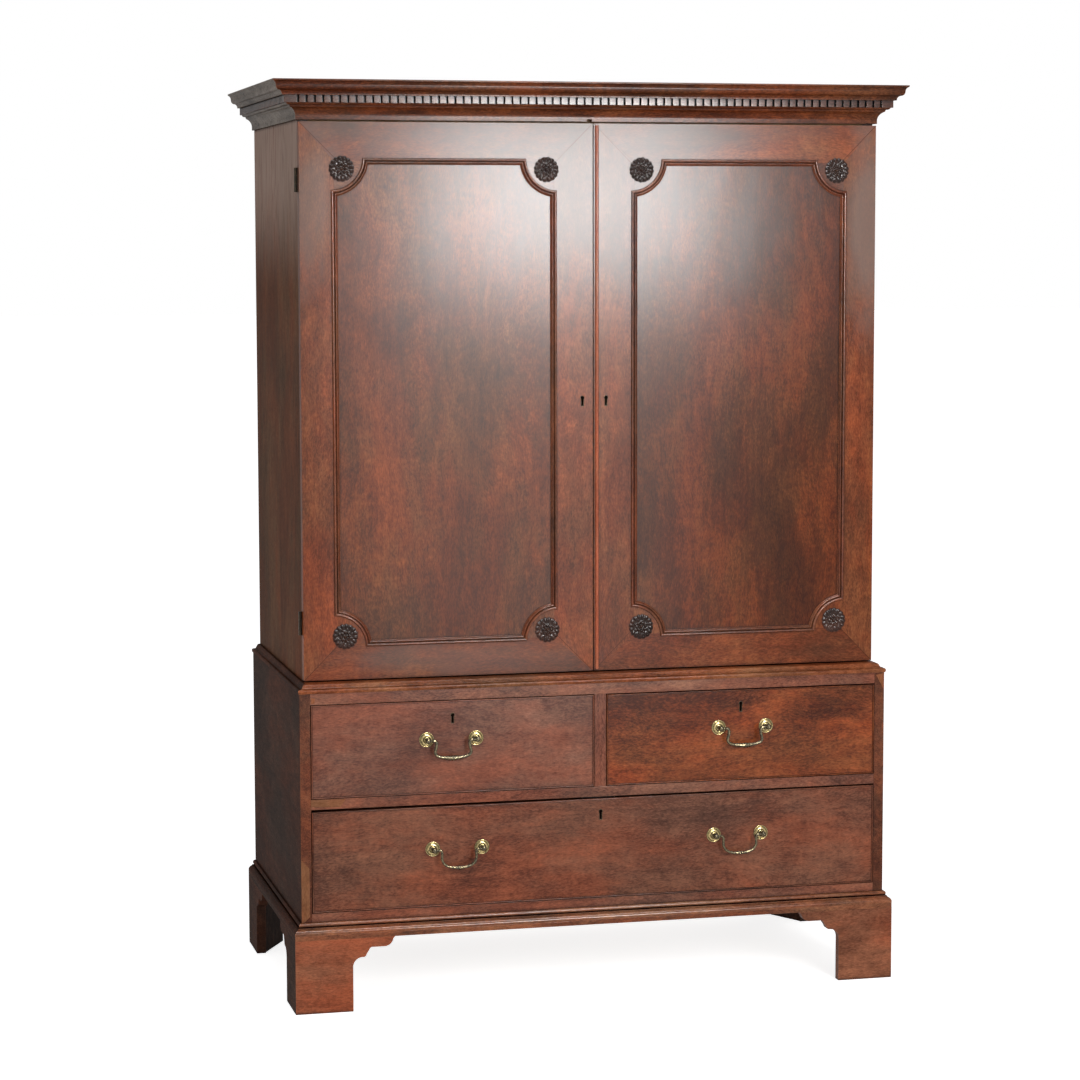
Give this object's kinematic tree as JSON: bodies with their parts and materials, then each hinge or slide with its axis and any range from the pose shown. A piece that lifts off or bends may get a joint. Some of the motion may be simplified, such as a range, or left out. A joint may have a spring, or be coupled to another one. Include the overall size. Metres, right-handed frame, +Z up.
{
  "type": "linen press",
  "caption": "Mahogany linen press: a moulded, dentilled cornice over a cupboard with panelled doors and sliding trays, on a chest of drawers with bracket feet.",
  "frame": {"origin": "under the middle of the whole at floor level", "axes": "+Z up from the floor, the doors and drawers face -Y, +X to the right seen from the front"},
  "size_m": [1.343, 0.6762, 1.9],
  "materials": {
    "mahogany_face": "polished reddish brown mahogany, gloss",
    "mahogany_panel": "polished mahogany with dark cloudy upright figure, high gloss",
    "mahogany_side": "plain brown grey mahogany, satin",
    "drawer_lining": "waxed oak lining, satin",
    "pine": "unpolished pine, matt",
    "rosette_wood": "near black carved wood, satin",
    "bright_brass": "polished lacquered brass",
    "aged_brass": "aged olive brass, worn"
  },
  "bodies": {
    "case": {"cornice_frame": "pine", "cornice_mouldings": "mahogany_face", "cornice_dentils": "mahogany_face", "upper_sides": "mahogany_side", "upper_top_board": "pine", "upper_bottom_board": "pine", "upper_back_boards": "pine", "tray_runners": "drawer_lining", "case_hinge_leaves": "aged_brass", "lower_sides": "mahogany_side", "lower_top_board": "pine", "lower_bottom_board": "pine", "lower_back_boards": "pine", "lower_rails": "mahogany_face", "drawer_runners": "drawer_lining", "waist_moulding": "mahogany_face", "base_moulding": "mahogany_face", "plinth_frame": "mahogany_face", "front_feet": "mahogany_face", "back_feet": "mahogany_side"},
    "left_door": {"left_door_frame": "mahogany_face", "left_door_panel": "mahogany_panel", "left_door_mouldings": "mahogany_face", "left_door_rosettes": "rosette_wood", "left_door_fittings": "aged_brass", "left_door_hinge_leaves": "aged_brass"},
    "left_door_top_bolt": {"left_door_top_bolt": "aged_brass"},
    "left_door_bottom_bolt": {"left_door_bottom_bolt": "aged_brass"},
    "right_door": {"right_door_frame": "mahogany_face", "right_door_panel": "mahogany_panel", "right_door_mouldings": "mahogany_face", "right_door_rosettes": "rosette_wood", "right_door_bead": "mahogany_face", "right_door_lock": "aged_brass", "right_door_hinge_leaves": "aged_brass"},
    "right_door_lock_bolt": {"right_door_lock_bolt": "aged_brass"},
    "tray_1": {"tray_1": "drawer_lining"},
    "tray_2": {"tray_2": "drawer_lining"},
    "tray_3": {"tray_3": "drawer_lining"},
    "tray_4": {"tray_4": "drawer_lining"},
    "left_drawer": {"left_drawer_front": "mahogany_face", "left_drawer_box": "drawer_lining", "left_drawer_lock": "aged_brass", "left_drawer_handle_roses": "bright_brass"},
    "left_drawer_lock_bolt": {"left_drawer_lock_bolt": "aged_brass"},
    "right_drawer": {"right_drawer_front": "mahogany_face", "right_drawer_box": "drawer_lining", "right_drawer_lock": "aged_brass", "right_drawer_handle_roses": "bright_brass"},
    "right_drawer_lock_bolt": {"right_drawer_lock_bolt": "aged_brass"},
    "long_drawer": {"long_drawer_front": "mahogany_face", "long_drawer_box": "drawer_lining", "long_drawer_lock": "aged_brass", "long_drawer_handle_roses": "bright_brass"},
    "long_drawer_lock_bolt": {"long_drawer_lock_bolt": "aged_brass"},
    "left_drawer_bail": {"left_drawer_bail": "aged_brass"},
    "right_drawer_bail": {"right_drawer_bail": "aged_brass"},
    "long_drawer_bail_left": {"long_drawer_bail_left": "aged_brass"},
    "long_drawer_bail_right": {"long_drawer_bail_right": "aged_brass"}
  },
  "joints": [
    {"name": "left_door_hinge", "type": "hinge", "parent": "case", "child": "left_door", "pos_m": [-0.6176, -0.2529, 1.25], "axis": [0, 0, -1], "range_deg": [0, 175]},
    {"name": "right_door_hinge", "type": "hinge", "parent": "case", "child": "right_door", "pos_m": [0.6176, -0.2529, 1.25], "axis": [0, 0, 1], "range_deg": [0, 175]},
    {"name": "right_door_bolt_slide", "type": "slide", "parent": "right_door", "child": "right_door_lock_bolt", "axis": [-1, 0, 0], "range_m": [0, 0.008]},
    {"name": "top_bolt_slide", "type": "slide", "parent": "left_door", "child": "left_door_top_bolt", "axis": [0, 0, 1], "range_m": [0, 0.012]},
    {"name": "bottom_bolt_slide", "type": "slide", "parent": "left_door", "child": "left_door_bottom_bolt", "axis": [0, 0, -1], "range_m": [0, 0.012]},
    {"name": "tray_1_slide", "type": "slide", "parent": "case", "child": "tray_1", "axis": [0, -1, 0], "range_m": [0, 0.025]},
    {"name": "tray_2_slide", "type": "slide", "parent": "case", "child": "tray_2", "axis": [0, -1, 0], "range_m": [0, 0.025]},
    {"name": "tray_3_slide", "type": "slide", "parent": "case", "child": "tray_3", "axis": [0, -1, 0], "range_m": [0, 0.025]},
    {"name": "tray_4_slide", "type": "slide", "parent": "case", "child": "tray_4", "axis": [0, -1, 0], "range_m": [0, 0.025]},
    {"name": "left_drawer_slide", "type": "slide", "parent": "case", "child": "left_drawer", "axis": [0, -1, 0], "range_m": [0, 0.4]},
    {"name": "left_drawer_bolt_slide", "type": "slide", "parent": "left_drawer", "child": "left_drawer_lock_bolt", "axis": [0, 0, 1], "range_m": [0, 0.008]},
    {"name": "right_drawer_slide", "type": "slide", "parent": "case", "child": "right_drawer", "axis": [0, -1, 0], "range_m": [0, 0.4]},
    {"name": "right_drawer_bolt_slide", "type": "slide", "parent": "right_drawer", "child": "right_drawer_lock_bolt", "axis": [0, 0, 1], "range_m": [0, 0.008]},
    {"name": "long_drawer_slide", "type": "slide", "parent": "case", "child": "long_drawer", "axis": [0, -1, 0], "range_m": [0, 0.4]},
    {"name": "long_drawer_bolt_slide", "type": "slide", "parent": "long_drawer", "child": "long_drawer_lock_bolt", "axis": [0, 0, 1], "range_m": [0, 0.008]},
    {"name": "left_drawer_bail_hinge", "type": "hinge", "parent": "left_drawer", "child": "left_drawer_bail", "pos_m": [-0.31475, -0.3319, 0.5565], "axis": [-1, 0, 0], "range_deg": [-15, 95]},
    {"name": "right_drawer_bail_hinge", "type": "hinge", "parent": "right_drawer", "child": "right_drawer_bail", "pos_m": [0.31325, -0.3319, 0.5565], "axis": [-1, 0, 0], "range_deg": [-15, 95]},
    {"name": "long_drawer_bail_left_hinge", "type": "hinge", "parent": "long_drawer", "child": "long_drawer_bail_left", "pos_m": [-0.303, -0.3319, 0.3275], "axis": [-1, 0, 0], "range_deg": [-15, 95]},
    {"name": "long_drawer_bail_right_hinge", "type": "hinge", "parent": "long_drawer", "child": "long_drawer_bail_right", "pos_m": [0.303, -0.3319, 0.3275], "axis": [-1, 0, 0], "range_deg": [-15, 95]}
  ]
}
